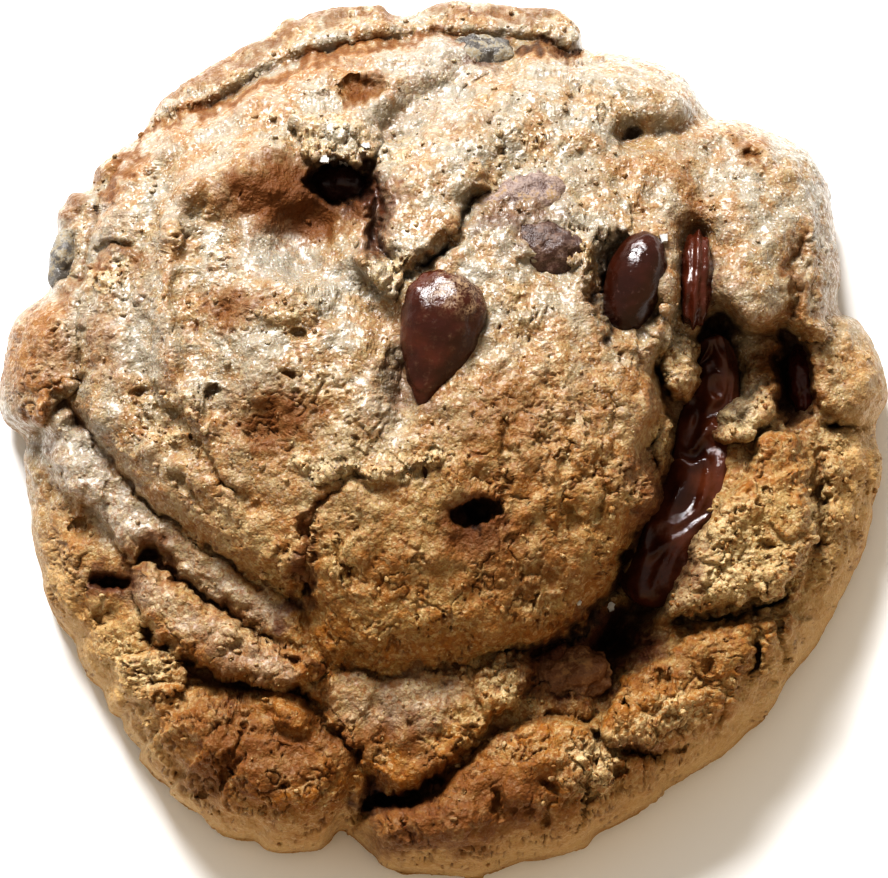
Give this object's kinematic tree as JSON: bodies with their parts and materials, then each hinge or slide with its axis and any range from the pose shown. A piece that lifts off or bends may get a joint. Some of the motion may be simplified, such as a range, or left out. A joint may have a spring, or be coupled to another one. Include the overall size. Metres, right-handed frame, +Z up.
{
  "type": "chocolate chip cookie",
  "caption": "Thick round drop cookie: a domed, craggy crown of dough folded over a lower skirt, with chocolate chips and a run of melted chocolate.",
  "frame": {"origin": "middle of the cookie's plan, on the surface that it rests on", "axes": "+Z up; -Y is the lower front of the cookie, +Y its raised back, +X to the right seen from the front"},
  "size_m": [0.0884, 0.0886, 0.0294],
  "materials": {
    "baked_dough": "matte, rough, baked crumb",
    "dark_chocolate": "glossy dark chocolate"
  },
  "bodies": {
    "root": {"dough": "baked_dough", "chip_middle": "dark_chocolate", "chip_right": "dark_chocolate", "chip_upper": "dark_chocolate", "chip_lower": "dark_chocolate", "chip_back": "dark_chocolate", "chip_back_left": "dark_chocolate", "chip_left_edge": "dark_chocolate", "chip_right_hollow": "dark_chocolate", "chip_strip": "dark_chocolate", "chip_front": "dark_chocolate", "melted_chocolate": "dark_chocolate"}
  },
  "joints": []
}
